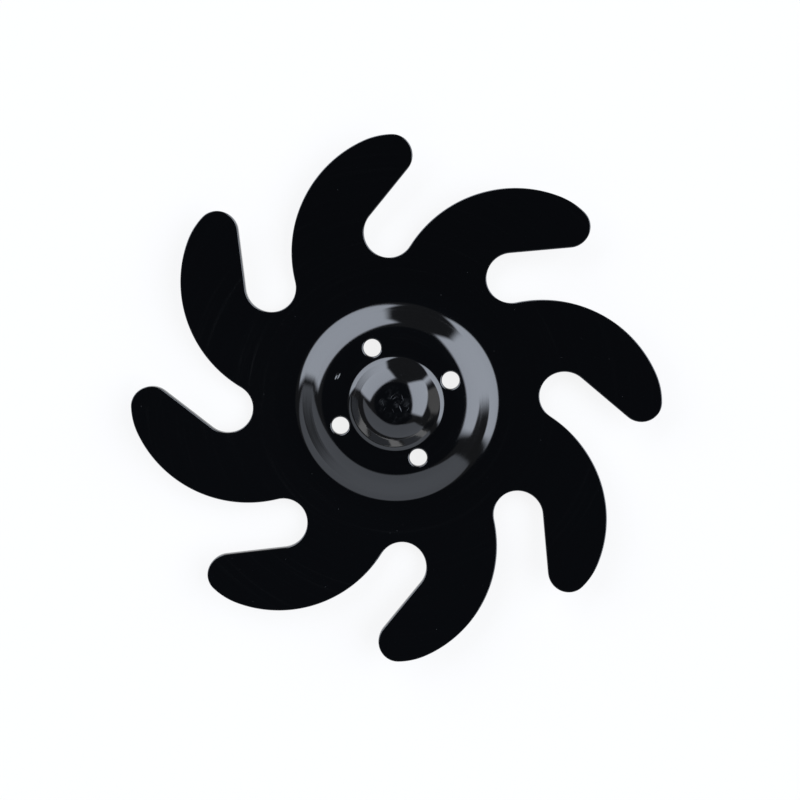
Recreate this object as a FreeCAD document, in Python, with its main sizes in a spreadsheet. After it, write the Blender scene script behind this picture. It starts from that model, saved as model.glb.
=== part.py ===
import FreeCAD, Part
import math
import os
import Sketcher
from FreeCAD import Vector

# A finger-type harrow disc blade, pressed from one sheet of steel (millimetres).
#
# Frame: +Z is the blade's axis and points out of the dome. Z = 0 is the back of
# the flat ring round the hub, on which the blade lies. +X runs through the tip
# of one finger. Seen from the dome side the fingers sweep round clockwise.
#
# The blade is made as the real one is. A star-shaped blank is cut out, one
# sector of it at a time, and the press form is a wall turned about Z. What the
# two have in common is the blade, and the bolt holes are then punched.

SIZES = {
    # the sheet
    "sheet_thickness": 4.0,
    # the star-shaped blank
    "blade_diameter": 330.0,
    "finger_count": 8,
    "gullet_circle": 212.4,
    "gullet_radius": 15.5,
    "gullet_angle": 1.6,
    "tip_radius": 12.4,
    "nose_radius": 44.7,
    "back_radius": 75.7,
    # the pressed dome
    "crown_diameter": 9.0,
    "dome_height": 12.4,
    "dome_diameter": 62.4,
    "dome_slope": 43.25,
    "dome_foot_share": 0.123,
    # the bolting land and the raised ring round it
    "land_diameter": 81.0,
    "land_height": 9.8,
    "hub_diameter": 134.0,
    "hub_slope": 30.78,
    "hub_foot_share": 0.274,
    # the dished fingers
    "flat_ring_width": 4.0,
    "dish_bend_radius": 30.0,
    "dish_angle": 11.0,
    "trim_allowance": 6.0,
    # the bolt holes
    "bolt_count": 4,
    "bolt_circle": 75.0,
    "bolt_hole": 11.0,
    "bolt_angle": 22.0,
    "punch_rounding": 0.6,
}

# Sizes that follow from the others. A straight flank joins two bends, and its
# slope and height leave the two bend radii one sum, which they share out.
DERIVED = {
    "dome_width": "=(dome_diameter - crown_diameter) / 2",
    "dome_bends": "=(dome_width - dome_height / tan(dome_slope * 1 deg)) / tan(dome_slope * 0.5 deg)",
    "crown_radius": "=dome_bends * (1 - dome_foot_share)",
    "dome_foot_radius": "=dome_bends * dome_foot_share",
    "ring_width": "=(hub_diameter - land_diameter) / 2",
    "hub_bends": "=(ring_width - land_height / tan(hub_slope * 1 deg)) / tan(hub_slope * 0.5 deg)",
    "shoulder_radius": "=hub_bends * (1 - hub_foot_share)",
    "hub_foot_radius": "=hub_bends * hub_foot_share",
    "dish_diameter": "=hub_diameter + 2 * flat_ring_width",
    "core_radius": "=(gullet_circle / 2 - gullet_radius) / 2",
}

# How a sketch numbers its own axes and the points of its lines and arcs.
X_AXIS, Y_AXIS = range(-1, -3, -1)
START, END, CENTRE = range(1, 4)
ORIGIN_POINT = (X_AXIS, START)

doc = FreeCAD.newDocument("harrow_disc_blade")
sheet = doc.addObject("Spreadsheet::Sheet", "sizes")
for row, (alias, value) in enumerate((SIZES | DERIVED).items(), start=1):
    sheet.set(f"A{row}", alias)
    sheet.set(f"B{row}", str(value))
    sheet.setAlias(f"B{row}", alias)
doc.recompute()


def size(alias):
    """Return one driving dimension as the sheet holds it."""
    return float(sheet.get(alias))


def polar(radius, degrees):
    """Return the point of the plane at a radius and an angle."""
    turn = math.radians(degrees)
    return Vector(radius * math.cos(turn), radius * math.sin(turn), 0)


def crossing_tangent(first, first_radius, second, second_radius):
    """Return where the line that crosses between two circles touches each.

    The line runs from the first circle, which it leaves on its right, to the
    second, which it leaves on its left.
    """
    span = second - first
    heading = math.atan2(span.y, span.x) - math.asin((first_radius + second_radius) / span.Length)
    left = Vector(-math.sin(heading), math.cos(heading), 0)
    return first + left * first_radius, second - left * second_radius


def add_arc(sketch, centre, radius, begin, finish):
    """Add the arc that runs counter-clockwise about centre from begin to finish."""
    start_turn = math.atan2(begin.y - centre.y, begin.x - centre.x)
    end_turn = math.atan2(finish.y - centre.y, finish.x - centre.x)
    if end_turn < start_turn:
        end_turn += 2 * math.pi
    circle = Part.Circle(centre, Vector(0, 0, 1), radius)
    return sketch.addGeometry(Part.ArcOfCircle(circle, start_turn, end_turn))


def add_line(sketch, begin, finish):
    return sketch.addGeometry(Part.LineSegment(begin, finish))


def rule(sketch, kind, *where):
    """Add a constraint that has no size."""
    return sketch.addConstraint(Sketcher.Constraint(kind, *where))


def drive(sketch, name, expression, kind, *where):
    """Add a named dimension and bind it to the sheet."""
    number = sketch.addConstraint(Sketcher.Constraint(kind, *where))
    sketch.renameConstraint(number, name)
    sketch.setExpression(f"Constraints.{name}", expression)


def origin_item(body, role):
    """Return the plane or axis of the body's own origin that has this role."""
    return next(item for item in body.Origin.OriginFeatures if item.Role == role)


def new_sketch(body, name, role):
    sketch = body.newObject("Sketcher::SketchObject", name)
    sketch.AttachmentSupport = [(origin_item(body, role), "")]
    sketch.MapMode = "FlatFace"
    return sketch


def polar_copies(body, name, features, count):
    """Repeat features of the body evenly round Z."""
    pattern = body.newObject("PartDesign::PolarPattern", name)
    pattern.Originals = features
    pattern.Axis = (origin_item(body, "Z_Axis"), [""])
    pattern.Angle = 360
    pattern.setExpression("Occurrences", count)
    body.Tip = pattern
    return pattern


def reversed_pair(outer, outer_radius, inner, inner_radius):
    """Return the two ends of a flank that falls outward between two bends."""
    outer_end, inner_end = crossing_tangent(outer, outer_radius, inner, inner_radius)
    return [inner_end, outer_end]


def draw_section(sketch):
    """Draw half of the press form's section, X outward and Y up the axis.

    Both faces of the wall are runs of lines and arcs. The two arcs of a bend
    share one centre, so the wall keeps the sheet's thickness round it.
    """
    wall = size("sheet_thickness")
    levels = {
        "flat": 0.0,
        "land": size("land_height"),
        "crown": size("land_height") + size("dome_height"),
    }
    # a bend: alias of its diameter, level, radius on the dome side, and whether
    # the dome side is the outside of the bend (1) or the inside (-1)
    bends = [
        ("crown_diameter", "crown", "crown_radius", 1),
        ("dome_diameter", "land", "dome_foot_radius", -1),
        ("land_diameter", "land", "shoulder_radius", 1),
        ("hub_diameter", "flat", "hub_foot_radius", -1),
        ("dish_diameter", "flat", "dish_bend_radius", -1),
    ]
    centres = []
    for diameter, level, radius, side in bends:
        height = levels[level] + wall - side * size(radius)
        centres.append(Vector(size(diameter) / 2, height, 0))

    rim = size("blade_diameter") / 2 + size("trim_allowance")
    dish = math.radians(size("dish_angle"))
    faces = {}
    for face, depth in (("front", 0.0), ("back", wall)):
        radii = [size(radius) - side * depth for _, _, radius, side in bends]
        top = levels["crown"] + wall - depth
        points = [Vector(0, top, 0), Vector(centres[0].x, top, 0)]
        points += reversed_pair(centres[1], radii[1], centres[0], radii[0])
        points.append(centres[1] - Vector(0, radii[1], 0))
        points.append(centres[2] + Vector(0, radii[2], 0))
        points += reversed_pair(centres[3], radii[3], centres[2], radii[2])
        points.append(centres[3] - Vector(0, radii[3], 0))
        points.append(centres[4] - Vector(0, radii[4], 0))
        lift = centres[4] + Vector(math.sin(dish), -math.cos(dish), 0) * radii[4]
        run = rim - lift.x
        points += [lift, lift + Vector(run, run * math.tan(dish), 0)]

        lines = [add_line(sketch, *ends) for ends in zip(points[::2], points[1::2])]
        arcs = []
        for i, (_, _, _, side) in enumerate(bends):
            ends = (points[2 * i + 1], points[2 * i + 2])
            begin, finish = reversed(ends) if side > 0 else ends
            arcs.append(add_arc(sketch, centres[i], radii[i], begin, finish))
            inner, outer = (END, START) if side > 0 else (START, END)
            rule(sketch, "Tangent", lines[i], END, arcs[i], inner)
            rule(sketch, "Tangent", arcs[i], outer, lines[i + 1], START)
        rule(sketch, "PointOnObject", lines[0], START, Y_AXIS)
        rule(sketch, "Horizontal", lines[0])
        faces[face] = (lines, arcs, points)

    front_lines, front_arcs, front_points = faces["front"]
    back_lines, back_arcs, back_points = faces["back"]
    rule(sketch, "Horizontal", front_lines[2])
    rule(sketch, "Horizontal", front_lines[4])
    rule(sketch, "PointOnObject", back_lines[4], START, X_AXIS)
    for i, (diameter, _, radius, side) in enumerate(bends):
        rule(sketch, "Coincident", front_arcs[i], CENTRE, back_arcs[i], CENTRE)
        sign = "-" if side > 0 else "+"
        drive(sketch, f"front_{radius}", f"sizes.{radius}", "Radius", front_arcs[i], size(radius))
        drive(sketch, f"back_{radius}", f"sizes.{radius} {sign} sizes.sheet_thickness",
              "Radius", back_arcs[i], size(radius) - side * wall)
        drive(sketch, diameter, f"sizes.{diameter} / 2",
              "DistanceX", *ORIGIN_POINT, front_arcs[i], CENTRE, size(diameter) / 2)
    drive(sketch, "land_height", "sizes.land_height",
          "DistanceY", front_lines[4], START, front_lines[2], START, size("land_height"))
    drive(sketch, "dome_height", "sizes.dome_height",
          "DistanceY", front_lines[2], START, front_lines[0], START, size("dome_height"))
    for face, lines in (("front", front_lines), ("back", back_lines)):
        drive(sketch, f"{face}_dish_angle", "sizes.dish_angle * 1 deg", "Angle", lines[-1], dish)

    axis_line = add_line(sketch, front_points[0], back_points[0])
    rim_line = add_line(sketch, front_points[-1], back_points[-1])
    for line, place, joint in ((axis_line, 0, START), (rim_line, -1, END)):
        rule(sketch, "Coincident", line, START, front_lines[place], joint)
        rule(sketch, "Coincident", line, END, back_lines[place], joint)
    rule(sketch, "Vertical", rim_line)
    drive(sketch, "rim", "sizes.blade_diameter / 2 + sizes.trim_allowance",
          "DistanceX", *ORIGIN_POINT, rim_line, START, rim)


def draw_sector(sketch):
    """Draw one finger with its share of the disc.

    The finger is a straight flank, a tip arc and a nose arc that both touch the
    blade's diameter on X, and a long back arc. Round gullets join it to the
    next fingers, and the sector ends on lines through the gullets' centres.
    """
    gullet = size("gullet_radius")
    pitch = 360 / size("finger_count")
    near, far = size("gullet_angle"), size("gullet_angle") + pitch
    near_gullet = polar(size("gullet_circle") / 2, near)
    far_gullet = polar(size("gullet_circle") / 2, far)
    tip = Vector(size("blade_diameter") / 2, 0, 0)
    tip_centre = tip - Vector(size("tip_radius"), 0, 0)
    nose_centre = tip - Vector(size("nose_radius"), 0, 0)

    flank_start, flank_end = crossing_tangent(near_gullet, gullet, tip_centre, size("tip_radius"))

    # the back arc holds the nose arc inside it and touches the gullet outside it
    span = far_gullet - nose_centre
    to_nose = size("back_radius") - size("nose_radius")
    to_gullet = size("back_radius") + gullet
    along = (span.Length ** 2 + to_nose ** 2 - to_gullet ** 2) / (2 * span.Length)
    across = math.sqrt(to_nose ** 2 - along ** 2)
    ahead = Vector(span).normalize()
    back_centre = nose_centre + ahead * along + Vector(-ahead.y, ahead.x, 0) * across
    from_back = Vector(nose_centre - back_centre).normalize()
    to_far = Vector(far_gullet - back_centre).normalize()
    nose_end = nose_centre + from_back * size("nose_radius")
    back_end = back_centre + to_far * size("back_radius")

    root = size("gullet_circle") / 2 - gullet
    core = size("core_radius")
    near_side = add_line(sketch, polar(core, near), polar(root, near))
    near_arc = add_arc(sketch, near_gullet, gullet, flank_start, polar(root, near))
    flank = add_line(sketch, flank_start, flank_end)
    tip_arc = add_arc(sketch, tip_centre, size("tip_radius"), flank_end, tip)
    nose_arc = add_arc(sketch, nose_centre, size("nose_radius"), tip, nose_end)
    back_arc = add_arc(sketch, back_centre, size("back_radius"), nose_end, back_end)
    far_arc = add_arc(sketch, far_gullet, gullet, polar(root, far), back_end)
    far_side = add_line(sketch, polar(root, far), polar(core, far))
    core_arc = add_arc(sketch, Vector(0, 0, 0), core, polar(core, near), polar(core, far))

    rule(sketch, "Tangent", near_arc, START, flank, START)
    rule(sketch, "Tangent", flank, END, tip_arc, START)
    rule(sketch, "Tangent", tip_arc, END, nose_arc, START)
    rule(sketch, "Tangent", nose_arc, END, back_arc, START)
    rule(sketch, "Tangent", back_arc, END, far_arc, END)
    rule(sketch, "Coincident", core_arc, CENTRE, *ORIGIN_POINT)
    rule(sketch, "Coincident", core_arc, START, near_side, START)
    rule(sketch, "Coincident", near_side, END, near_arc, END)
    rule(sketch, "Coincident", far_arc, START, far_side, START)
    rule(sketch, "Coincident", far_side, END, core_arc, END)
    rule(sketch, "PointOnObject", tip_arc, CENTRE, X_AXIS)
    rule(sketch, "PointOnObject", nose_arc, CENTRE, X_AXIS)
    for side, arc in ((near_side, near_arc), (far_side, far_arc)):
        rule(sketch, "PointOnObject", *ORIGIN_POINT, side)
        rule(sketch, "PointOnObject", arc, CENTRE, side)
    rule(sketch, "Equal", near_arc, far_arc)
    drive(sketch, "gullet_radius", "sizes.gullet_radius", "Radius", near_arc, gullet)
    drive(sketch, "tip_radius", "sizes.tip_radius", "Radius", tip_arc, size("tip_radius"))
    drive(sketch, "nose_radius", "sizes.nose_radius", "Radius", nose_arc, size("nose_radius"))
    drive(sketch, "back_radius", "sizes.back_radius", "Radius", back_arc, size("back_radius"))
    drive(sketch, "core_radius", "sizes.core_radius", "Radius", core_arc, core)
    drive(sketch, "reach", "sizes.blade_diameter / 2",
          "DistanceX", *ORIGIN_POINT, tip_arc, END, size("blade_diameter") / 2)
    for name, arc in (("near_circle", near_arc), ("far_circle", far_arc)):
        drive(sketch, name, "sizes.gullet_circle / 2",
              "Distance", *ORIGIN_POINT, arc, CENTRE, size("gullet_circle") / 2)
    drive(sketch, "near_angle", "sizes.gullet_angle * 1 deg",
          "Angle", near_side, math.radians(near))
    drive(sketch, "sector_angle", "360 deg / sizes.finger_count",
          "Angle", near_side, START, far_side, END, math.radians(pitch))


def make_blank():
    """Make the star-shaped blank, taller than the pressed blade is.

    The core disc reaches one sheet's thickness into the sectors round it.
    """
    height = ("sizes.land_height + sizes.dome_height + 2 * sizes.sheet_thickness"
              " + sizes.blade_diameter / 2 * tan(sizes.dish_angle * 1 deg)")
    body = doc.addObject("PartDesign::Body", "star_blank")
    core_sketch = new_sketch(body, "core_outline", "XY_Plane")
    reach = size("core_radius") + size("sheet_thickness")
    middle = sketch_circle(core_sketch, Vector(0, 0, 0), reach)
    rule(core_sketch, "Coincident", middle, CENTRE, *ORIGIN_POINT)
    drive(core_sketch, "core_reach", "sizes.core_radius + sizes.sheet_thickness",
          "Radius", middle, reach)
    sector_sketch = new_sketch(body, "sector_outline", "XY_Plane")
    draw_sector(sector_sketch)
    doc.recompute()

    for name, sketch in (("core_pad", core_sketch), ("sector_pad", sector_sketch)):
        pad = body.newObject("PartDesign::Pad", name)
        pad.Profile = sketch
        pad.Midplane = True
        pad.setExpression("Length", f"2 * ({height})")
        doc.recompute()
    polar_copies(body, "sectors", [pad], "sizes.finger_count")
    doc.recompute()
    return body


def sketch_circle(sketch, centre, radius):
    return sketch.addGeometry(Part.Circle(centre, Vector(0, 0, 1), radius))


def punch_hole(body):
    """Punch one bolt hole through the land and ease its rim on the dome side."""
    place = polar(size("bolt_circle") / 2, size("bolt_angle"))
    across = "sizes.bolt_circle / 2 * cos(sizes.bolt_angle * 1 deg)"
    along = "sizes.bolt_circle / 2 * sin(sizes.bolt_angle * 1 deg)"
    sketch = new_sketch(body, "bolt_hole_place", "XY_Plane")
    spot = sketch_circle(sketch, place, size("bolt_hole") / 2)
    drive(sketch, "hole_radius", "sizes.bolt_hole / 2", "Radius", spot, size("bolt_hole") / 2)
    drive(sketch, "across", across, "DistanceX", *ORIGIN_POINT, spot, CENTRE, place.x)
    drive(sketch, "along", along, "DistanceY", *ORIGIN_POINT, spot, CENTRE, place.y)
    doc.recompute()
    hole = body.newObject("PartDesign::Pocket", "bolt_hole")
    hole.Profile = sketch
    hole.Type = "ThroughAll"
    hole.Midplane = True
    doc.recompute()

    rim = body.newObject("PartDesign::SubtractiveCone", "punched_rim")
    rim.AttachmentSupport = [(origin_item(body, "XY_Plane"), "")]
    rim.MapMode = "FlatFace"
    rim.setExpression("AttachmentOffset.Base.x", across)
    rim.setExpression("AttachmentOffset.Base.y", along)
    rim.setExpression("AttachmentOffset.Base.z",
                      "sizes.land_height + sizes.sheet_thickness - sizes.punch_rounding")
    rim.setExpression("Radius1", "sizes.bolt_hole / 2")
    rim.setExpression("Radius2", "sizes.bolt_hole / 2 + 2 * sizes.punch_rounding")
    rim.setExpression("Height", "2 * sizes.punch_rounding")
    body.Tip = rim
    doc.recompute()
    return hole, rim


def make_blade(blank):
    """Turn the press form, keep what the blank covers, and punch the bolt holes."""
    body = doc.addObject("PartDesign::Body", "disc_blade")
    section = new_sketch(body, "wall_section", "XZ_Plane")
    draw_section(section)
    doc.recompute()
    form = body.newObject("PartDesign::Revolution", "press_form")
    form.Profile = section
    form.ReferenceAxis = (section, ["V_Axis"])
    form.Angle = 360
    doc.recompute()
    form_volume = form.Shape.Volume

    star = body.newObject("PartDesign::Boolean", "star_trim")
    star.Type = "Common"
    star.setObjects([blank])
    body.Tip = star
    doc.recompute()
    star_volume = star.Shape.Volume
    if not star_volume < form_volume:
        raise RuntimeError("the blank's outline trimmed nothing off the press form")

    hole, rim = punch_hole(body)
    holes = polar_copies(body, "bolt_holes", [hole, rim], "sizes.bolt_count")
    doc.recompute()
    if not holes.Shape.Volume < star_volume:
        raise RuntimeError("the bolt holes cut nothing")

    return body


blade = make_blade(make_blank())
doc.recompute()

for item in doc.Objects:
    if "Invalid" in item.State or "Error" in item.State:
        raise RuntimeError(f"{item.Label} did not build: {item.State}")
if blade.Shape.isNull() or not blade.Shape.isValid() or len(blade.Shape.Solids) != 1:
    raise RuntimeError("the blade is not one valid solid")

os.makedirs("parts", exist_ok=True)
blade.Shape.exportStep(f"parts/{blade.Label}.step")
print(blade.Label, "volume", round(blade.Shape.Volume), "mm3, box", blade.Shape.BoundBox)
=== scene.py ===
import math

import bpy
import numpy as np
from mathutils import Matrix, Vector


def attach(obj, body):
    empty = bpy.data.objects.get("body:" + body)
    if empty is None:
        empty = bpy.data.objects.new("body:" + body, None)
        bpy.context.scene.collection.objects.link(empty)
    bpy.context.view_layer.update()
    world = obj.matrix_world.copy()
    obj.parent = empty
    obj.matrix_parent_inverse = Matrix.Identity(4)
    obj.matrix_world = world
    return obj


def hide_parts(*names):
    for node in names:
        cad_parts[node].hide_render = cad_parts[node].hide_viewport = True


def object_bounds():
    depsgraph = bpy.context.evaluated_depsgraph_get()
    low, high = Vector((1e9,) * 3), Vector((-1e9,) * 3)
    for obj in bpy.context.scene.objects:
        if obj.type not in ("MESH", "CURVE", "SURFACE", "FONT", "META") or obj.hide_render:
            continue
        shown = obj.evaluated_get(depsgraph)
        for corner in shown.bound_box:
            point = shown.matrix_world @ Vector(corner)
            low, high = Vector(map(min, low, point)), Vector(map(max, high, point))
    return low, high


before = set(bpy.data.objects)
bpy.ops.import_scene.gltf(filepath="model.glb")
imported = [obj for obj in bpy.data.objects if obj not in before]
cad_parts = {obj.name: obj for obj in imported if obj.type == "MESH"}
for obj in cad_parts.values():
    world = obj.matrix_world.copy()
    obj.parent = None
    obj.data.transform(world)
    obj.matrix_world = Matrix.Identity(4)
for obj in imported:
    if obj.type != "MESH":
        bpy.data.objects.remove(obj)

# A finger-type harrow disc blade, pressed from one sheet and enamelled black.
#
# Frame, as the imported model's: +Z is the blade's axis and points out of the
# dome, Z = 0 is the back of the flat ring that the blade lies on, and +X runs
# through the tip of one finger. Lengths are in metres.

bl_info = {
    "name": "Harrow disc blade",
    "version": (1, 0, 0),
    "blender": (4, 5, 0),
    "location": "3D Viewport > Sidebar > Blade",
    "description": "Builds the enamelled blade and its studio round the packed model",
    "category": "Object",
}

MM = 0.001
TINY = 1e-9
CAD_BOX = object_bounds()
BLADE_NODE = "disc_blade"


# ------------------------------------------------------------------ settings


def length(name, description, millimetres):
    return bpy.props.FloatProperty(name=name, description=description, default=millimetres * MM,
                                   min=0.0, unit="LENGTH", precision=4)


def angle(name, description, degrees):
    return bpy.props.FloatProperty(name=name, description=description,
                                   default=math.radians(degrees), unit="ROTATION")


def count(name, description, default, least, most):
    return bpy.props.IntProperty(name=name, description=description, default=default,
                                 min=least, max=most)


def share(name, description, default):
    return bpy.props.FloatProperty(name=name, description=description, default=default,
                                   min=0.0, max=1.0, subtype="FACTOR")


def brightness(name, description, default):
    return bpy.props.FloatProperty(name=name, description=description, default=default, min=0.0)


def colour(name, description, default):
    return bpy.props.FloatVectorProperty(name=name, description=description, default=default,
                                         size=3, min=0.0, max=1.0, subtype="COLOR")


class BladeSizes(bpy.types.PropertyGroup):
    """The sizes of the pressed blade."""

    wall: length("Wall", "Thickness of the sheet", 4.0)
    reach: length("Reach", "Radius that the finger tips reach", CAD_BOX[1][0] / MM)
    fingers: count("Fingers", "Fingers round the blade", 8, 3, 16)
    gullet_ring: length("Gullet ring", "Radius of the ring through the gullets' centres", 106.2)
    gullet: length("Gullet", "Radius of the round gullet between two fingers", 15.5)
    gullet_turn: angle("Gullet turn", "Angle of the first gullet from the first tip", 1.6)
    tip: length("Tip", "Radius of a finger's tip", 12.4)
    nose: length("Nose", "Radius of the arc behind the tip", 44.7)
    back: length("Back", "Radius of a finger's long back arc", 75.7)
    crown: length("Crown", "Radius of the flat top of the dome", 6.0)
    dome: length("Dome", "Radius at which the dome ends on the land", 31.7)
    dome_height: length("Dome height", "Height of the dome over the land", 12.4)
    dome_slope: angle("Dome slope", "Slope of the dome's straight flank", 43.1)
    dome_foot: share("Dome foot", "Foot's share of the dome's two bend radii", 0.21)
    land: length("Land", "Outer radius of the flat land that is bolted", 40.5)
    land_height: length("Land height", "Height of the land over the flat ring", 9.8)
    hub: length("Hub", "Radius at which the raised ring ends", 67.7)
    hub_slope: angle("Hub slope", "Slope of the raised ring's straight flank", 31.8)
    hub_foot: share("Hub foot", "Foot's share of the raised ring's two bend radii", 0.41)
    flat_ring: length("Flat ring", "Width of the flat ring round the hub", 4.0)
    dish_bend: length("Dish bend", "Radius of the bend into the dished fingers", 30.0)
    dish: angle("Dish", "Slope of the dished fingers", 11.0)
    bolts: count("Bolts", "Bolt holes in the land", 4, 1, 12)
    bolt_ring: length("Bolt ring", "Radius of the bolt circle", 37.5)
    bolt_hole: length("Bolt hole", "Radius of a bolt hole", 5.5)
    bolt_turn: angle("Bolt turn", "Angle of the first bolt hole from the first tip", 22.0)
    die_round: length("Die rounding", "Rounding of the cut edge on the dome side", 0.7)
    burr_round: length("Burr rounding", "Rounding of the cut edge on the back", 0.25)
    punch_round: length("Punch rounding", "Rounding of a bolt hole on the dome side", 1.1)


class EnamelFinish(bpy.types.PropertyGroup):
    """The gloss enamel and its wear."""

    body: colour("Enamel", "Colour of the enamel", (0.0016, 0.0019, 0.0025))
    scuff: colour("Scuff", "Colour of scratches and dust on the enamel", (0.30, 0.31, 0.32))
    roughness: share("Roughness", "Roughness of clean enamel", 0.07)
    wave: length("Waves", "Height of the long waves in the enamel", 0.018)
    streak: length("Streaks", "Height of the press marks that run round the hub", 0.010)
    peel: length("Peel", "Height of the fine orange peel", 0.0008)
    dent: length("Dent", "Depth of the dent on the land", 0.5)


class StageSettings(bpy.types.PropertyGroup):
    """The floor and the studio's light."""

    floor: colour("Floor", "Colour of the floor", (0.93, 0.93, 0.93))
    floor_glow: share("Floor glow", "Share of the floor's white that no shadow reaches", 0.85)
    floor_reach: length("Floor reach", "Half the width of the floor", 6000.0)
    side: brightness("Side box", "Brightness of the softbox on the right", 3.8)
    rear: brightness("Rear box", "Brightness of the softbox behind", 3.55)
    front: brightness("Front box", "Brightness of the softbox in front", 0.68)
    strip: brightness("Strip", "Brightness of the low strip on the right", 0.5)
    room: brightness("Room", "Brightness of the dim room between the softboxes", 0.055)
    overhead: brightness("Overhead", "Brightness of the dark disc overhead", 0.012)
    tint: colour("Tint", "Colour of the softboxes", (0.80, 0.87, 1.0))


# ------------------------------------------------------------ shapes in numpy

# rows of the mesh down the wall: the turn of a bend between two of them, the
# distance elsewhere and beside the bolt holes, and the least that is kept
BEND_STEP = math.radians(3.0)
FLAT_STEP, HOLE_STEP, LEAST_STEP = 2.6 * MM, 1.6 * MM, 0.12 * MM
# steps across a finger, which go on as spokes to the middle, and down its sides
ACROSS_STEPS, SIDE_STEPS = 24, 80
# the patch that is left out round a bolt hole: its reach along the radius, and
# the spokes that it spans on each side of the one nearest to the hole
PATCH_REACH, PATCH_SPOKES = 7.9 * MM, 7
# rows of points between a patch and its hole, and across the web
PATCH_ROWS, WEB_ROWS = 6, 5
# the web starts this far outside the bend into the dish
WEB_MARGIN = 4.0 * MM
# rows of points on the rounded edges of the dome side and of the back
DIE_ROWS, BURR_ROWS = 7, 5
# points that agree to this many decimals of a metre are one
MERGE_DECIMALS = 7


class Wall:
    """The wall's section, as heights and slopes of both faces over the radius.

    A face is a run of straight stretches and round bends. The two arcs of a
    bend share one centre, so the wall keeps its thickness round it. Each bend
    is (centre radius, centre height, radius on the dome side, side), and side
    is 1 where the dome side is the outside of the bend and -1 where it is the
    inside.
    """

    def __init__(self, sizes):
        dome_width, ring_width = sizes.dome - sizes.crown, sizes.hub - sizes.land
        dome_bends = self.bend_sum(dome_width, sizes.dome_height, sizes.dome_slope)
        hub_bends = self.bend_sum(ring_width, sizes.land_height, sizes.hub_slope)
        top = sizes.wall
        land = top + sizes.land_height
        bends = (
            (sizes.crown, land + sizes.dome_height, dome_bends * (1 - sizes.dome_foot), 1),
            (sizes.dome, land, dome_bends * sizes.dome_foot, -1),
            (sizes.land, land, hub_bends * (1 - sizes.hub_foot), 1),
            (sizes.hub, top, hub_bends * sizes.hub_foot, -1),
            (sizes.hub + sizes.flat_ring, top, sizes.dish_bend, -1),
        )
        self.bends = [(r, level - side * radius, radius, side)
                      for r, level, radius, side in bends]
        self.turns = (sizes.dome_slope, sizes.dome_slope, sizes.hub_slope, sizes.hub_slope,
                      sizes.dish)
        self.thickness, self.dish = sizes.wall, sizes.dish

    @staticmethod
    def bend_sum(width, height, slope):
        """Sum of the two bend radii that a flank of this slope leaves.

        Bends and flank span width = sum * sin + run * cos, and they climb
        height = sum * (1 - cos) + run * sin. The run is taken out of both.
        """
        return (width - height / math.tan(slope)) / math.tan(slope / 2)

    def arcs(self, depth):
        """Yield each bend's arc on the face at this depth below the dome side.

        An arc is its centre, its radius, its side and the radii where it starts
        and ends. It is level at its centre's radius, and lies outward of there
        if it is convex or bends into the dish, and inward if it is a foot.
        """
        for number, ((r, z, radius, side), turn) in enumerate(zip(self.bends, self.turns)):
            radius = radius - side * depth
            outward = side > 0 or number == len(self.bends) - 1
            ends = (r, r + radius * math.sin(turn)) if outward else (r - radius * math.sin(turn), r)
            yield r, z, radius, side, ends

    def face(self, radii, depth):
        """Return height and slope of a face at these radii.

        On an arc, height = centre height + side * sqrt(radius^2 - offset^2),
        with the offset from the arc's centre. Between arcs it is a straight
        line, and beyond the last one it climbs at the dish's slope.
        """
        knots, heights = [0.0], [self.bends[0][1] + self.bends[0][2] - depth]
        arcs = list(self.arcs(depth))
        for r, z, radius, side, ends in arcs:
            for end in ends:
                knots.append(end)
                heights.append(z + side * math.sqrt(radius ** 2 - (end - r) ** 2))
        far = 1.0
        heights.append(heights[-1] + (far - knots[-1]) * math.tan(self.dish))
        knots.append(far)
        height = np.interp(radii, knots, heights)
        stretch = np.clip(np.searchsorted(knots, radii, side="right") - 1, 0, len(knots) - 2)
        slope = (np.diff(heights) / np.maximum(np.diff(knots), TINY))[stretch]
        for r, z, radius, side, (begin, end) in arcs:
            on = (radii >= begin - TINY) & (radii <= end + TINY)
            rise = np.sqrt(radius ** 2 - (radii[on] - r) ** 2)
            height[on] = z + side * rise
            slope[on] = -side * (radii[on] - r) / rise
        return height, slope

    def surface(self, plan, depth):
        """Return points and unit normals over plan points given as complex numbers.

        The normal of a surface of revolution leans by the slope along the
        radius. It points up on the dome side and down on the back.
        """
        radii = np.abs(plan)
        height, slope = self.face(radii, depth)
        along = plan / np.maximum(radii, TINY)
        lean = np.stack([-slope * along.real, -slope * along.imag, np.ones_like(slope)], axis=-1)
        lean /= np.linalg.norm(lean, axis=-1, keepdims=True)
        return lift(plan, height), lean if depth == 0 else -lean

    def stations(self, begin, finish, bend_step, flat_step):
        """Return radii for rows that follow the bends of both faces.

        A bend's radii are its centre's plus or minus radius * sin(turn), in
        equal steps of the turn. Wider stretches are cut into equal steps.
        """
        marks = [begin, finish]
        for depth in (0.0, self.thickness):
            for (r, _, radius, _, ends), turn in zip(self.arcs(depth), self.turns):
                steps = np.linspace(0, 1, max(2, math.ceil(turn / bend_step) + 1))
                swing = radius * np.sin(turn * steps)
                marks.extend(r + swing if ends[0] == r else r - swing)
        marks = np.unique([mark for mark in marks if begin <= mark <= finish])
        keep = np.concatenate([[True], np.diff(marks) > LEAST_STEP])
        keep[-1] = True
        marks = marks[keep]
        rows = [np.linspace(a, b, max(1, round((b - a) / flat_step)) + 1)[:-1]
                for a, b in zip(marks[:-1], marks[1:])]
        return np.append(np.concatenate(rows), finish)


def lift(plan, height):
    """Return 3-D points over complex plan points."""
    return np.stack(np.broadcast_arrays(plan.real, plan.imag, height), axis=-1)


def spoke(turn):
    """Return the unit complex number at an angle."""
    return np.exp(1j * np.asarray(turn))


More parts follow.
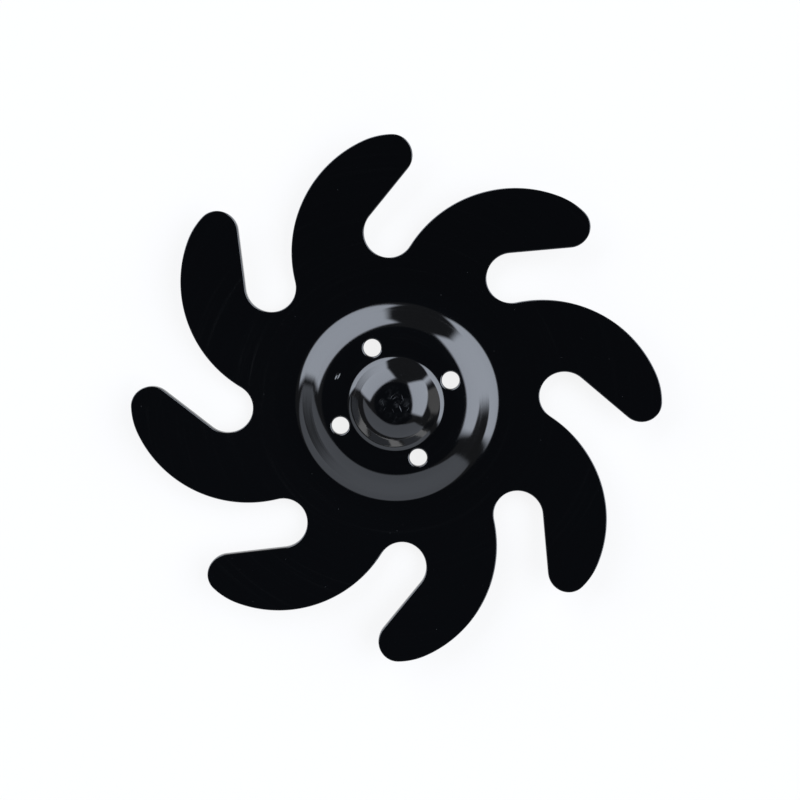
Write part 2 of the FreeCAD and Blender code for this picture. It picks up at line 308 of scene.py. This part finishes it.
def crossing_tangent(first, first_radius, second, second_radius):
    """Return where the line that crosses between two circles touches each.

    The line leaves the first circle on its right and the second on its left,
    so its heading is the centres' heading less asin(both radii / distance).
    """
    span = second - first
    turn = np.angle(span) - math.asin((first_radius + second_radius) / abs(span))
    left = 1j * spoke(turn)
    return first + left * first_radius, second - left * second_radius


def walk(runs, steps):
    """Return points and outward normals at equal shares of a path's length.

    A run is (start, finish, centre, sense, side). An arc turns from start to
    finish in its sense, 1 for counter-clockwise, and its normal is the radius
    times its side. A straight run has no centre, and its normal is its heading
    turned a quarter by its side.
    """
    lengths = []
    for start, finish, centre, sense, _ in runs:
        if centre is None:
            lengths.append(abs(finish - start))
        else:
            turn = np.angle((finish - centre) / (start - centre)) * sense % math.tau
            lengths.append(turn * abs(start - centre))
    marks = np.concatenate([[0.0], np.cumsum(lengths)])
    at = np.linspace(0, marks[-1], steps + 1)
    points, normals = np.empty(steps + 1, complex), np.empty(steps + 1, complex)
    for (start, finish, centre, sense, side), begin, run in zip(runs, marks, lengths):
        on = (at >= begin - TINY) & (at <= begin + run + TINY)
        part = (at[on] - begin) / run
        if centre is None:
            points[on] = start + (finish - start) * part
            normals[on] = 1j * side * (finish - start) / run
        else:
            radius = abs(start - centre)
            points[on] = centre + (start - centre) * spoke(sense * part * run / radius)
            normals[on] = side * (points[on] - centre) / radius
    return points, normals


def finger_sides(sizes):
    """Return the two sides of the first finger, each from its gullet to the tip.

    The flank side is the near gullet, a straight flank and the tip arc. The
    back side is the far gullet, the long back arc and the nose arc. Both end
    at the tip point, where they touch the blade's reach.
    """
    near = sizes.gullet_ring * spoke(sizes.gullet_turn)
    far = near * spoke(math.tau / sizes.fingers)
    root = 1 - sizes.gullet / sizes.gullet_ring
    tip_point = complex(sizes.reach)
    tip, nose = tip_point - sizes.tip, tip_point - sizes.nose
    flank_start, flank_end = crossing_tangent(near, sizes.gullet, tip, sizes.tip)
    # the back arc holds the nose arc inside it and touches the gullet outside it
    span = far - nose
    to_nose, to_gullet = sizes.back - sizes.nose, sizes.back + sizes.gullet
    along = (abs(span) ** 2 + to_nose ** 2 - to_gullet ** 2) / (2 * abs(span))
    across = math.sqrt(to_nose ** 2 - along ** 2)
    back = nose + span / abs(span) * complex(along, across)
    back_start = back + (far - back) / abs(far - back) * sizes.back
    back_end = nose + (nose - back) / abs(nose - back) * sizes.nose
    flank_side = [
        (near * root, flank_start, near, -1, -1),
        (flank_start, flank_end, None, 1, -1),
        (flank_end, tip_point, tip, 1, 1),
    ]
    back_side = [
        (far * root, back_start, far, 1, -1),
        (back_start, back_end, back, -1, 1),
        (back_end, tip_point, nose, -1, 1),
    ]
    return walk(flank_side, SIDE_STEPS), walk(back_side, SIDE_STEPS)


class Shell:
    """Gathers grids of points into one closed mesh with its own normals."""

    def __init__(self):
        self.points, self.normals, self.quads, self.total = [], [], [], 0

    def add(self, points, normals):
        """Add a grid of points, rows by columns, and the quads between them."""
        rows, columns = points.shape[:2]
        index = np.arange(rows * columns).reshape(rows, columns) + self.total
        self.quads.append(np.stack(
            [index[:-1, :-1], index[:-1, 1:], index[1:, 1:], index[1:, :-1]],
            axis=-1).reshape(-1, 4))
        self.points.append(points.reshape(-1, 3))
        self.normals.append(normals.reshape(-1, 3))
        self.total += rows * columns

    def make(self, name):
        """Merge the points that meet, turn each face outward and make the mesh.

        A quad is turned round where its own normal, the cross product of its
        diagonals, is against the sum of its corners' normals. A quad with two
        corners in one point becomes a triangle.
        """
        points, normals = np.concatenate(self.points), np.concatenate(self.normals)
        _, first, merged = np.unique(np.round(points, MERGE_DECIMALS), axis=0,
                                     return_index=True, return_inverse=True)
        points, normals = points[first], normals[first]
        quads = merged.reshape(-1)[np.concatenate(self.quads)]
        corners = points[quads]
        facing = np.cross(corners[:, 2] - corners[:, 0], corners[:, 3] - corners[:, 1])
        inward = (facing * normals[quads].sum(axis=1)).sum(axis=1) < 0
        quads[inward] = quads[inward][:, ::-1]
        same = quads == np.roll(quads, -1, axis=1)
        whole = ~same.any(axis=1)
        pinched = same.sum(axis=1) == 1
        turned = np.argmax(same[pinched], axis=1)[:, None]
        triangles = np.take_along_axis(quads[pinched], (turned + [[1, 2, 3]]) % 4, axis=1)
        mesh = bpy.data.meshes.new(name)
        mesh.from_pydata(points, [], quads[whole].tolist() + triangles.tolist())
        mesh.shade_smooth()
        mesh.normals_split_custom_set_from_vertices(normals)
        return mesh


def cut_edge(wall, points, normals, die_round, burr_round):
    """Return the grid of a cut edge, from the dome side round to the back.

    Each face rolls into the upright edge on a quarter round: at the angle t it
    lies radius * (1 - sin t) inside the edge and radius * (1 - cos t) into the
    sheet, and its normal turns from the face's to the edge's.
    """
    rows, leans = [], []
    outward = lift(normals, 0.0)
    for depth, radius, into_sheet, steps in (
            (0.0, die_round, -1, np.linspace(0, 1, DIE_ROWS)),
            (wall.thickness, burr_round, 1, np.linspace(1, 0, BURR_ROWS))):
        for turn in steps * math.pi / 2:
            place = points - normals * radius * (1 - math.sin(turn))
            row, lean = wall.surface(place, depth)
            row[..., 2] += into_sheet * radius * (1 - math.cos(turn))
            rows.append(row)
            leans.append(lean * math.cos(turn) + outward * math.sin(turn))
    leans = np.stack(leans)
    return np.stack(rows), leans / np.linalg.norm(leans, axis=-1, keepdims=True)


def bolt_holes(sizes, turns, rows):
    """Return (centre, first spoke, last spoke, loop) of each bolt hole's patch.

    The loop runs once round the patch of the polar grid that these rows and
    spokes bound, and comes back to the corner where it starts.
    """
    holes = []
    for bolt in range(sizes.bolts):
        turn = sizes.bolt_turn + bolt * math.tau / sizes.bolts
        nearest = round((turn - sizes.gullet_turn) / (turns[1] - turns[0]))
        begin, end = nearest - PATCH_SPOKES, nearest + PATCH_SPOKES
        columns = spoke(turns[begin:end + 1])
        loop = np.concatenate([
            rows[0] * columns[:-1], rows[:-1] * columns[-1],
            rows[-1] * columns[:0:-1], rows[:0:-1] * columns[0], rows[:1] * columns[0]])
        holes.append((sizes.bolt_ring * spoke(turn), begin, end, loop))
    return holes


def blade_mesh(sizes):
    """Return the blade's mesh: two faces and the cut edges between them.

    The middle is a polar grid, with a square patch left out round each bolt
    hole and filled by rings that blend the square into the round. A web blends
    the polar grid into the chords from gullet to gullet. From there each finger
    is ruled by chords between its two sides, which shrink to its tip.
    """
    wall, shell = Wall(sizes), Shell()
    pitch = math.tau / sizes.fingers
    fingers = [spoke(finger * pitch) for finger in range(sizes.fingers)]
    spokes = ACROSS_STEPS * sizes.fingers
    turns = sizes.gullet_turn + np.arange(spokes + 1) * math.tau / spokes
    (flank, flank_out), (back, back_out) = finger_sides(sizes)

    inner, outer = sizes.bolt_ring - PATCH_REACH, sizes.bolt_ring + PATCH_REACH
    web = sizes.hub + sizes.flat_ring + sizes.dish_bend * math.sin(sizes.dish) + WEB_MARGIN
    middle_rows = wall.stations(0.0, inner, BEND_STEP, FLAT_STEP)
    hole_rows = wall.stations(inner, outer, 2 * BEND_STEP, HOLE_STEP)
    outer_rows = wall.stations(outer, web, BEND_STEP, FLAT_STEP)
    web_ring = web * spoke(turns[:ACROSS_STEPS + 1])

    holes = bolt_holes(sizes, turns, hole_rows)
    free_begins = [0] + [end for _, _, end, _ in holes]
    free_ends = [begin for _, begin, _, _ in holes] + [spokes]

    to_patch = np.linspace(0, 1, PATCH_ROWS)[:, None]
    to_finger = np.linspace(0, 1, WEB_ROWS)[:, None]
    to_back = np.linspace(0, 1, ACROSS_STEPS + 1)
    for depth, edge_round, hole_round in (
            (0.0, sizes.die_round, sizes.punch_round),
            (wall.thickness, sizes.burr_round, sizes.burr_round)):
        for rows in (middle_rows, outer_rows):
            shell.add(*wall.surface(rows[:, None] * spoke(turns), depth))
        for begin, end in zip(free_begins, free_ends):
            columns = spoke(turns[begin:end + 1])
            shell.add(*wall.surface(hole_rows[:, None] * columns, depth))
        for centre, _, _, loop in holes:
            away = (loop - centre) / abs(loop - centre)
            rim = centre + away * (sizes.bolt_hole + hole_round)
            shell.add(*wall.surface(rim + (loop - rim) * to_patch, depth))

        near = (flank - flank_out * edge_round)[:, None]
        far = (back - back_out * edge_round)[:, None]
        chords = near + (far - near) * to_back
        web_rows = web_ring + (chords[0] - web_ring) * to_finger
        for turned in fingers:
            shell.add(*wall.surface(chords * turned, depth))
            shell.add(*wall.surface(web_rows * turned, depth))

    for turned in fingers:
        for side, out in ((flank, flank_out), (back, back_out)):
            shell.add(*cut_edge(wall, side * turned, out * turned,
                                sizes.die_round, sizes.burr_round))
    for centre, _, _, loop in holes:
        away = (loop - centre) / abs(loop - centre)
        shell.add(*cut_edge(wall, centre + away * sizes.bolt_hole, -away,
                            sizes.punch_round, sizes.burr_round))
    return shell.make(BLADE_NODE + "_enamel")


# ---------------------------------------------------------------- shader maths


class Term:
    """A node's socket in an expression: each operator on it adds a Math node."""

    def __init__(self, tree, socket=None):
        self.tree, self.socket = tree, socket

    def node(self, kind, settings=None, inputs=None, output=0):
        """Add a node, set its settings, then fill or link its sockets."""
        node = self.tree.nodes.new(kind)
        for name, value in (settings or {}).items():
            setattr(node, name, value)
        for key, value in (inputs or {}).items():
            if isinstance(value, Term):
                self.tree.links.new(value.socket, node.inputs[key])
            else:
                node.inputs[key].default_value = value
        return Term(self.tree, node.outputs[output] if node.outputs else None)

    def sibling(self, output):
        """Return another output of the node that this socket belongs to."""
        return Term(self.tree, self.socket.node.outputs[output])

    def math(self, operation, *values):
        """Add a Math node on this socket and the values after it."""
        return self.node("ShaderNodeMath", {"operation": operation},
                         dict(enumerate((self, *values))))

    def __add__(self, other):
        return self.math("ADD", other)

    def __sub__(self, other):
        return self.math("SUBTRACT", other)

    def __rsub__(self, other):
        return self * -1.0 + other

    def __mul__(self, other):
        return self.math("MULTIPLY", other)

    def __truediv__(self, other):
        return self.math("DIVIDE", other)

    def __pow__(self, other):
        return self.math("POWER", other)

    __radd__, __rmul__ = __add__, __mul__

    def ramp(self, low, high):
        """Rise smoothly from 0 at low to 1 at high."""
        return self.node("ShaderNodeMapRange", {"interpolation_type": "SMOOTHSTEP"},
                         {"Value": self, "From Min": low, "From Max": high})

    def dot(self, vector):
        """Return this vector's dot product with a constant one."""
        return self.node("ShaderNodeVectorMath", {"operation": "DOT_PRODUCT"},
                         {0: self, 1: vector}, "Value")

    def noise(self, scale, detail, roughness=0.5):
        """Return fractal noise round zero over this vector."""
        return self.node("ShaderNodeTexNoise", {"noise_dimensions": "3D"},
                         {"Vector": self, "Scale": scale, "Detail": detail,
                          "Roughness": roughness}, "Fac") - 0.5


def fresh_nodes(owner):
    """Empty a material's or a world's node tree, and return a term to start from."""
    owner.use_nodes = True
    owner.node_tree.nodes.clear()
    return Term(owner.node_tree)


# ------------------------------------------------------------------- enamel

# scales of the noise, in cells to the metre
WAVE_SCALE, PEEL_SCALE, SMUDGE_SCALE, DUST_SCALE = 16.0, 900.0, 330.0, 240.0
# press marks: cells to the metre across them and to the radian along them
MARK_ACROSS, MARK_ALONG, MARK_ROUGHNESS = 400.0, 0.8, 0.6
# scratches: their headings in degrees, cells to the metre along and across
# them, and how many cells one heading's pattern is shifted from the last
SCRATCH_TURNS = (55.0, 38.0, -70.0)
SCRATCH_ALONG, SCRATCH_ACROSS, SCRATCH_SHIFT = 95.0, 1700.0, 7.0
# the dent on the land: its place, and how far it reaches each way
DENT_TURN, DENT_RADIUS = math.radians(153.6), 39.8 * MM
DENT_LENGTH, DENT_WIDTH = 3.6 * MM, 0.9 * MM
# the crown is worn as far as the first of these shares of its radius, and
# clean beyond the second
CROWN_WORN, CROWN_CLEAN = 0.7, 2.1
# levels of the noise over which a scratch, a smudge and a matt mark fade in
SCRATCH_FADE, SMUDGE_FADE, MARK_FADE = (0.19, 0.30), (0.0, 0.35), (0.0, 0.3)
# dust: the shares of a cell over which a grain's edge fades, and the levels of
# the cell's own random value over which its grain shows
GRAIN_FADE, CHANCE_FADE = (0.03, 0.07), (0.82, 0.9)
# what each adds to the scuffs' share of the colour, and to the roughness
SCRATCH_TONE, SMUDGE_TONE, DUST_TONE = 0.8, 0.08, 0.12
MARK_MATT, SCRATCH_MATT, DUST_MATT = 0.1, 0.25, 0.2
ENAMEL_IOR = 1.8


def enamel(finish, sizes):
    """Gloss black enamel over pressed steel.

    Long waves, faint press marks that run round the hub and a fine orange peel
    lift its surface, and a dent sinks it. Scratches and smudges lie on the
    crown, and grains of dust lie thinly all over.
    """
    material = bpy.data.materials.new("black_enamel")
    start = fresh_nodes(material)
    place = start.node("ShaderNodeTexCoord", output="Object")
    x = start.node("ShaderNodeSeparateXYZ", None, {0: place})
    y, z = x.sibling(1), x.sibling(2)
    radius = (x * x + y * y).math("SQRT")

    # press marks: noise over the radius, drawn out along the turn
    marks = start.node("ShaderNodeCombineXYZ", None, {
        0: radius * MARK_ACROSS, 1: y.math("ARCTAN2", x) * MARK_ALONG, 2: z * MARK_ACROSS})
    streaks = marks.noise(1.0, 3.0, MARK_ROUGHNESS)

    # the dent: exp(-(along / length)^2 - (out / width)^2), long across the radius
    along = y * math.cos(DENT_TURN) - x * math.sin(DENT_TURN)
    out = x * math.cos(DENT_TURN) + y * math.sin(DENT_TURN) - DENT_RADIUS
    spread = (along / DENT_LENGTH) ** 2 + (out / DENT_WIDTH) ** 2
    dent = (spread * -1.0).math("EXPONENT")
    height = (place.noise(WAVE_SCALE, 1.0) * finish.wave + streaks * finish.streak
              + place.noise(PEEL_SCALE, 1.0) * finish.peel - dent * finish.dent)
    bump = start.node("ShaderNodeBump", None,
                      {"Strength": 1.0, "Distance": 1.0, "Height": height})

    # scratches: noise drawn out along a line, one line for each heading
    scratches = 0.0
    for number, degrees in enumerate(SCRATCH_TURNS):
        heading = math.radians(degrees)
        line = start.node("ShaderNodeCombineXYZ", None, {
            0: ((x * math.cos(heading) + y * math.sin(heading)) * SCRATCH_ALONG
                + SCRATCH_SHIFT * number),
            1: (y * math.cos(heading) - x * math.sin(heading)) * SCRATCH_ACROSS})
        scratches = scratches + line.noise(1.0, 1.0).ramp(*SCRATCH_FADE)
    crown = 1 - radius.ramp(CROWN_WORN * sizes.crown, CROWN_CLEAN * sizes.crown)
    scratches = scratches * crown
    smudge = place.noise(SMUDGE_SCALE, 3.0).ramp(*SMUDGE_FADE) * crown

    # dust: a round grain in the middle of some of the cells
    grain = start.node("ShaderNodeTexVoronoi", {"voronoi_dimensions": "3D"},
                       {"Vector": place, "Scale": DUST_SCALE}, "Distance")
    chance = start.node("ShaderNodeSeparateColor", None, {0: grain.sibling("Color")})
    dust = (1 - grain.ramp(*GRAIN_FADE)) * chance.ramp(*CHANCE_FADE)

    worn = scratches * SCRATCH_TONE + smudge * SMUDGE_TONE + dust * DUST_TONE
    paint = start.node("ShaderNodeMix", {"data_type": "RGBA"}, {
        0: worn.math("MINIMUM", 1.0), 6: (*finish.body, 1.0), 7: (*finish.scuff, 1.0)}, 2)
    gloss = (finish.roughness + streaks.ramp(*MARK_FADE) * MARK_MATT
             + scratches * SCRATCH_MATT + dust * DUST_MATT)
    shader = start.node("ShaderNodeBsdfPrincipled", None, {
        "Base Color": paint, "Roughness": gloss, "IOR": ENAMEL_IOR, "Normal": bump})
    start.node("ShaderNodeOutputMaterial", None, {"Surface": shader})
    return material


# ------------------------------------------------------------------- studio

# Each softbox by its corners in order round it, as degrees from the zenith
# towards east and north.
SIDE_BOX = ((23, 34), (21, -18), (53, -32), (71, 49))
REAR_BOX = ((0, 46), (-23, 82), (-84, 22), (-47, 0))
FRONT_BOX = ((-69.9, 6), (-49.9, -56.5), (65, -66), (34, -40))
STRIP_BOX = ((70, -12), (70, 22), (88, 25), (83, -35))
# the sine of the angle over which a softbox fades on each side of its edge
BOX_SOFT, FRONT_SOFT = 0.055, 0.028
# the dark disc overhead: its middle, its reach and its soft edge, in degrees
OVERHEAD = (1, -1.5)
OVERHEAD_REACH, OVERHEAD_SOFT = 35.3, 3.0
# the sine of the elevation up to which the backdrop shows in reflections
HORIZON = 0.012
WHITE = (1.0, 1.0, 1.0)

# the floor lies this far below the blade
FLOOR_GAP = 0.1 * MM

# the camera: its place, its right and its up
CAMERA_PLACE = (0.02484, 0.09691, 0.79056)
CAMERA_RIGHT = (0.99958, -0.01106, -0.02680)
CAMERA_UP = (0.00772, 0.99256, -0.12150)
CAMERA_LENS, CAMERA_SENSOR, CAMERA_FAR = 56.25, 36.0, 50.0


def direction(east, north):
    """Return the direction this many degrees from the zenith, east and north."""
    polar = math.radians(math.hypot(east, north))
    turn = math.atan2(north, east)
    return Vector((math.sin(polar) * math.cos(turn), math.sin(polar) * math.sin(turn),
                   math.cos(polar)))


def softbox(ray, corners, soft):
    """Return 1 inside the great circles through neighbouring corners, and 0 outside."""
    ways = [direction(*corner) for corner in corners]
    middle = sum(ways, Vector())
    lit = 1.0
    for here, there in zip(ways, ways[1:] + ways[:1]):
        edge = here.cross(there).normalized()
        edge = edge if edge.dot(middle) > 0 else -edge
        lit = lit * ray.dot(edge).ramp(-soft, soft)
    return lit


def background(start, hue, strength):
    """Return a Background node of this colour and strength."""
    return start.node("ShaderNodeBackground", None, {"Color": (*hue, 1.0), "Strength": strength})


# ----------------------------------------------------------------- operators


class BLADE_OT_disc(bpy.types.Operator):
    """Build the pressed and enamelled blade"""

    bl_idname = "blade.disc"
    bl_label = "Disc blade"

    def execute(self, context):
        sizes, finish = context.scene.blade_sizes, context.scene.blade_finish
        mesh = blade_mesh(sizes)
        piece = bpy.data.objects.new(mesh.name, mesh)
        context.scene.collection.objects.link(piece)
        mesh.materials.append(enamel(finish, sizes))
        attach(piece, "root")
        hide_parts(BLADE_NODE)
        return {"FINISHED"}


class BLADE_OT_stage(bpy.types.Operator):
    """Build the floor, the studio light and the camera"""

    bl_idname = "blade.stage"
    bl_label = "Stage"

    def execute(self, context):
        stage = context.scene.blade_stage
        self.floor(context, stage)
        self.light(context, stage)
        self.camera(context)
        context.scene.view_settings.view_transform = "Standard"
        return {"FINISHED"}

    def floor(self, context, stage):
        """Lay a square floor under the blade."""
        half, level = stage.floor_reach, -FLOOR_GAP
        mesh = bpy.data.meshes.new("floor")
        mesh.from_pydata([(-half, -half, level), (half, -half, level), (half, half, level),
                          (-half, half, level)], [], [(0, 1, 2, 3)])
        floor = bpy.data.objects.new("floor", mesh)
        context.scene.collection.objects.link(floor)
        material = bpy.data.materials.new("pale_floor")
        start = fresh_nodes(material)
        paint = start.node("ShaderNodeBsdfDiffuse", None, {"Color": (*stage.floor, 1.0)})
        white = start.node("ShaderNodeEmission", None, {"Strength": 1.0})
        path = start.node("ShaderNodeLightPath", output="Is Camera Ray")
        seen = path + path.sibling("Is Glossy Ray") + path.sibling("Is Transmission Ray")
        surface = start.node("ShaderNodeMixShader", None, {
            0: seen.math("MINIMUM", 1.0) * stage.floor_glow, 1: paint, 2: white})
        start.node("ShaderNodeOutputMaterial", None, {"Surface": surface})
        mesh.materials.append(material)

    def light(self, context, stage):
        """Light the room by softboxes in the world, round a dark disc overhead.

        The camera sees a white backdrop in their place, and reflections see it
        along the horizon.
        """
        world = bpy.data.worlds.new("studio")
        context.scene.world = world
        start = fresh_nodes(world)
        ray = start.node("ShaderNodeTexCoord", output="Generated")
        overhead = ray.dot(direction(*OVERHEAD)).ramp(
            math.cos(math.radians(OVERHEAD_REACH + OVERHEAD_SOFT)),
            math.cos(math.radians(OVERHEAD_REACH - OVERHEAD_SOFT)))
        side = softbox(ray, SIDE_BOX, BOX_SOFT) * stage.side
        rear = softbox(ray, REAR_BOX, BOX_SOFT) * (1 - overhead) * stage.rear
        front = softbox(ray, FRONT_BOX, FRONT_SOFT) * (1 - overhead) * stage.front
        strip = softbox(ray, STRIP_BOX, BOX_SOFT) * stage.strip
        dim = (1 - overhead) * stage.room + stage.overhead
        studio = start.node("ShaderNodeAddShader", None, {
            0: background(start, stage.tint, side + rear + front),
            1: background(start, WHITE, strip + dim)})

        path = start.node("ShaderNodeLightPath", output="Is Camera Ray")
        up = start.node("ShaderNodeSeparateXYZ", None, {0: ray}, 2)
        mirrored = path.sibling("Is Glossy Ray") + path.sibling("Is Transmission Ray")
        seen = path + mirrored * (1 - up.ramp(0.0, HORIZON))
        view = start.node("ShaderNodeMixShader", None, {
            0: seen.math("MINIMUM", 1.0), 1: studio, 2: background(start, WHITE, 1.0)})
        start.node("ShaderNodeOutputWorld", None, {"Surface": view})

    def camera(self, context):
        """Look down on the dome, a little from above the middle of the view."""
        lens = bpy.data.cameras.new("camera")
        lens.lens = CAMERA_LENS
        lens.sensor_width = CAMERA_SENSOR
        lens.clip_end = CAMERA_FAR
        camera = bpy.data.objects.new("camera", lens)
        context.scene.collection.objects.link(camera)
        right, up = Vector(CAMERA_RIGHT), Vector(CAMERA_UP)
        turn = Matrix((right, up, right.cross(up))).transposed().to_4x4()
        camera.matrix_world = Matrix.Translation(CAMERA_PLACE) @ turn
        context.scene.camera = camera


class BLADE_PT_panel(bpy.types.Panel):
    """The blade's pieces, sizes and colours"""

    bl_idname = "BLADE_PT_panel"
    bl_label = "Harrow disc blade"
    bl_space_type = "VIEW_3D"
    bl_region_type = "UI"
    bl_category = "Blade"

    def draw(self, context):
        for operator in OPERATORS:
            self.layout.operator(operator.bl_idname)
        for group in (context.scene.blade_sizes, context.scene.blade_finish,
                      context.scene.blade_stage):
            box = self.layout.box()
            for name in group.__annotations__:
                box.prop(group, name)


OPERATORS = (BLADE_OT_disc, BLADE_OT_stage)
CLASSES = (BladeSizes, EnamelFinish, StageSettings, *OPERATORS, BLADE_PT_panel)


def register():
    for item in CLASSES:
        bpy.utils.register_class(item)
    bpy.types.Scene.blade_sizes = bpy.props.PointerProperty(type=BladeSizes)
    bpy.types.Scene.blade_finish = bpy.props.PointerProperty(type=EnamelFinish)
    bpy.types.Scene.blade_stage = bpy.props.PointerProperty(type=StageSettings)


def unregister():
    for name in ("blade_sizes", "blade_finish", "blade_stage"):
        delattr(bpy.types.Scene, name)
    for item in reversed(CLASSES):
        bpy.utils.unregister_class(item)


def main():
    register()
    bpy.ops.blade.disc()
    bpy.ops.blade.stage()


if __name__ == "__main__":
    main()
